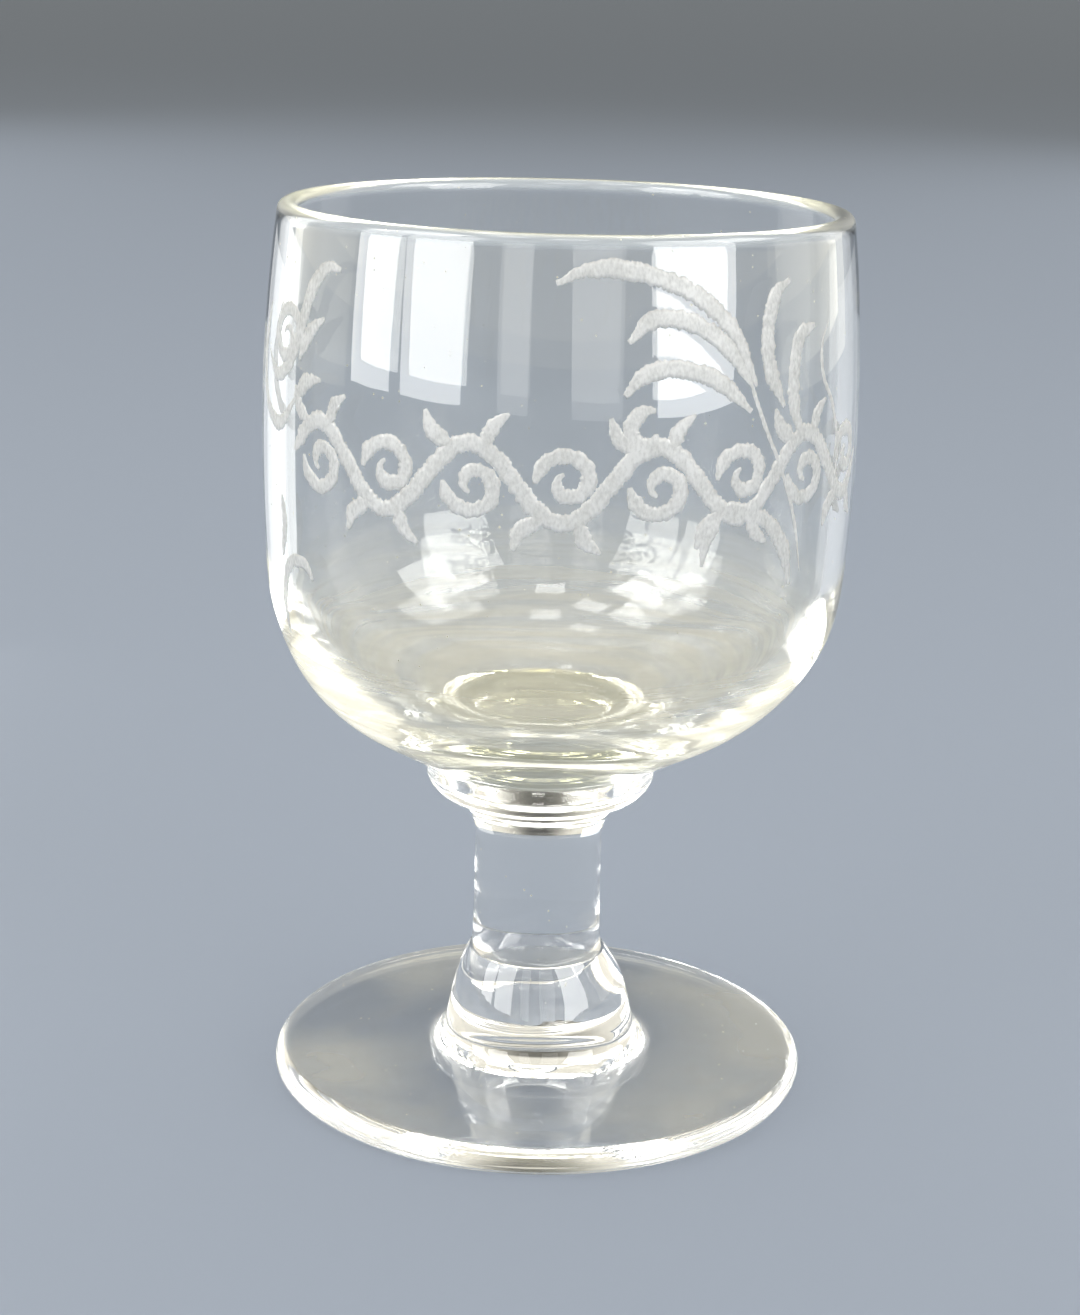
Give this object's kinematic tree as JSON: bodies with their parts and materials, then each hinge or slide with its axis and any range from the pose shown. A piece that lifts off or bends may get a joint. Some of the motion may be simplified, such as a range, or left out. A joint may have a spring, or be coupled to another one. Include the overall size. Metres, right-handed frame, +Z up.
{
  "type": "stemmed drinking glass",
  "caption": "Short-stemmed footed drinking glass with a deep, thick-walled bowl, flat merese, solid stem, swelling knop and broad round foot.",
  "frame": {"origin": "centre of the foot's underside, in the plane that the glass stands on", "axes": "+Z up along the axis of the bowl, stem and foot; +Y runs from the engraved front to the back"},
  "size_m": [0.0782, 0.0782, 0.12],
  "materials": {
    "clear_glass": "fire polished, faint straw tint",
    "cut_frost": "matt wheel-cut frost"
  },
  "bodies": {
    "root": {"foot": "clear_glass", "knop": "clear_glass", "stem": "clear_glass", "merese": "clear_glass", "bowl": "clear_glass"}
  },
  "joints": []
}
